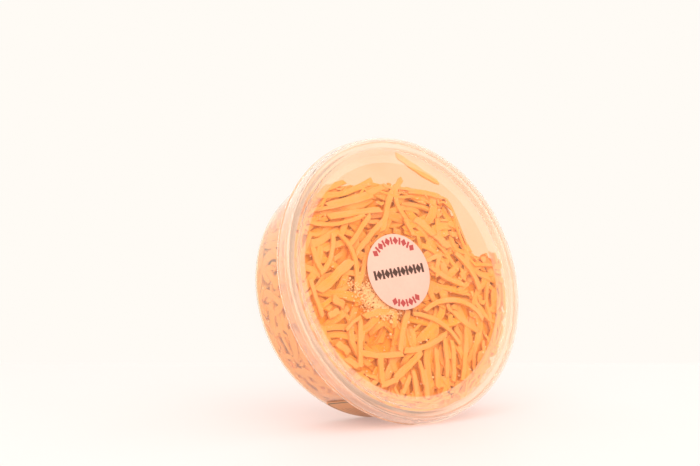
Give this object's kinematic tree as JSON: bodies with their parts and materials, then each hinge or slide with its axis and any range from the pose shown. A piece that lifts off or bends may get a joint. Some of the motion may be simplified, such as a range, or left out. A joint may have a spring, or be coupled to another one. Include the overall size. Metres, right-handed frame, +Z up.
{
  "type": "tub of shredded hard cheese",
  "caption": "Shut round clear plastic deli tub filled with shredded hard cheese, lying on its side, with a round label on the lid and a label on its wall.",
  "frame": {"origin": "centre of the pack's footprint on the table, directly under the middle of its bounding box", "axes": "+Z up from the table, +Y from the lid towards the base of the tub, +X to the right when facing the lid"},
  "size_m": [0.12, 0.0636, 0.116],
  "materials": {
    "clear_plastic": "gloss, slightly milky see-through polypropylene",
    "cheese": "satin, dry shredded hard cheese",
    "label_paper": "satin label paper with flat printed shapes"
  },
  "bodies": {
    "root": {"tub": "clear_plastic", "lid": "clear_plastic", "cheese": "cheese", "loose_shred": "cheese", "lid_label": "label_paper", "side_label": "label_paper"}
  },
  "joints": []
}
